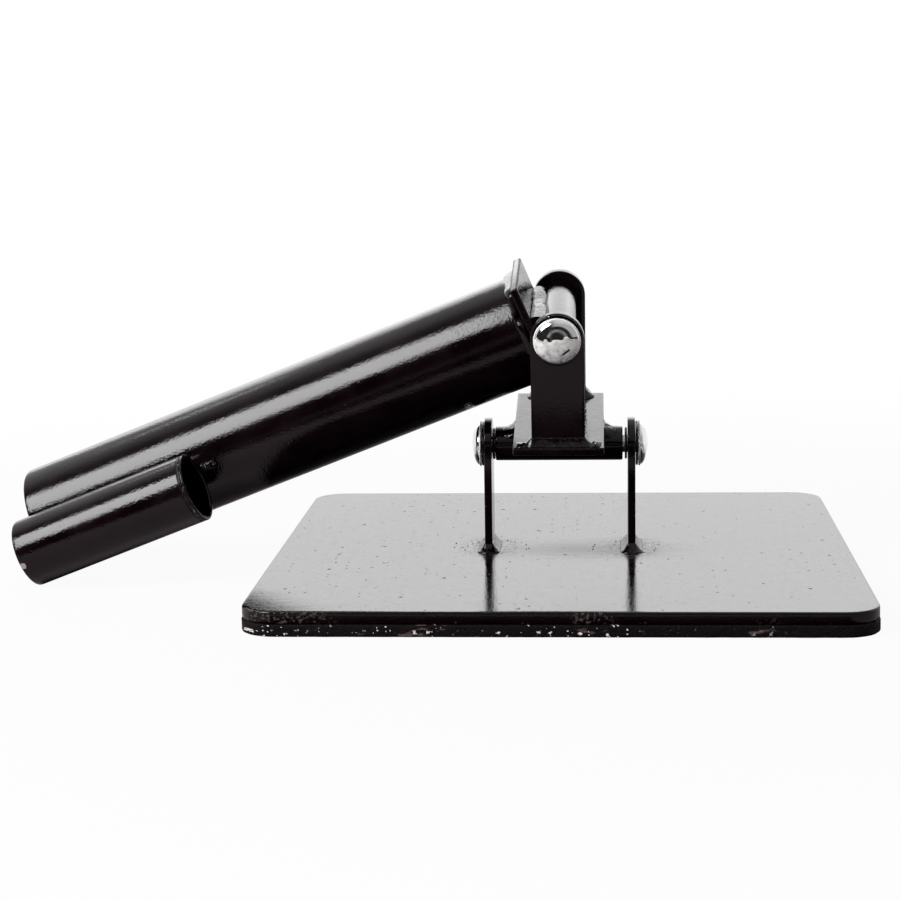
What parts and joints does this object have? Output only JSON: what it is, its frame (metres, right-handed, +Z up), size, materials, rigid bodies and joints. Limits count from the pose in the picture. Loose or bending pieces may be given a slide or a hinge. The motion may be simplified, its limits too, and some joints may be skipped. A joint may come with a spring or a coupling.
{
  "type": "barbell pivot attachment",
  "caption": "Floor plate with a two-way hinge that carries a long wide tube and a short narrow tube for the end of a barbell.",
  "frame": {"origin": "the middle of the rubber mat's underside, on the floor", "axes": "+Z up, +X to the plate's right, away from the tubes, +Y to the rear"},
  "size_m": [0.4452, 0.306, 0.1672],
  "materials": {
    "black_paint": "gloss black paint with orange peel",
    "chrome": "polished",
    "zinc_steel": "zinc plated",
    "black_rubber": "rough cut edge with pale flecks"
  },
  "bodies": {
    "base": {"rubber_mat": "black_rubber", "base_plate": "black_paint", "left_lug": "black_paint", "right_lug": "black_paint", "left_lug_weld": "black_paint", "right_lug_weld": "black_paint", "lower_pin": "zinc_steel", "lower_left_spacer": "black_paint", "lower_right_spacer": "black_paint", "lower_left_washer": "black_paint", "lower_right_washer": "black_paint", "lower_left_lock_ring": "zinc_steel", "lower_right_lock_ring": "zinc_steel", "lower_left_cap": "chrome", "lower_right_cap": "chrome"},
    "saddle": {"lower_sleeve": "black_paint", "saddle_plate": "black_paint", "left_saddle_weld": "black_paint", "right_saddle_weld": "black_paint", "front_arm": "black_paint", "rear_arm": "black_paint", "front_arm_weld": "black_paint", "rear_arm_weld": "black_paint", "upper_pin": "zinc_steel", "upper_front_spacer": "black_paint", "upper_rear_spacer": "black_paint", "upper_front_washer": "black_paint", "upper_rear_washer": "black_paint", "upper_front_lock_ring": "zinc_steel", "upper_rear_lock_ring": "zinc_steel", "upper_front_cap": "chrome", "upper_rear_cap": "chrome"},
    "tubes": {"upper_sleeve": "black_paint", "end_plate_weld_upper": "black_paint", "end_plate_weld_lower": "black_paint", "tube_end_plate": "black_paint", "tube_end_weld": "black_paint", "large_tube": "black_paint", "small_tube": "black_paint", "mouth_tack_weld": "black_paint", "inner_tack_weld": "black_paint"}
  },
  "joints": [
    {"name": "saddle_lean", "type": "hinge", "parent": "base", "child": "saddle", "pos_m": [-0.0008, -0.0055, 0.0689], "axis": [1, 0, 0], "range_deg": [-108, 85]},
    {"name": "tube_swing", "type": "hinge", "parent": "saddle", "child": "tubes", "pos_m": [-0.0008, -0.02007, 0.13849], "axis": [0, 0.9788, 0.2049], "range_deg": [0, 224]}
  ]
}
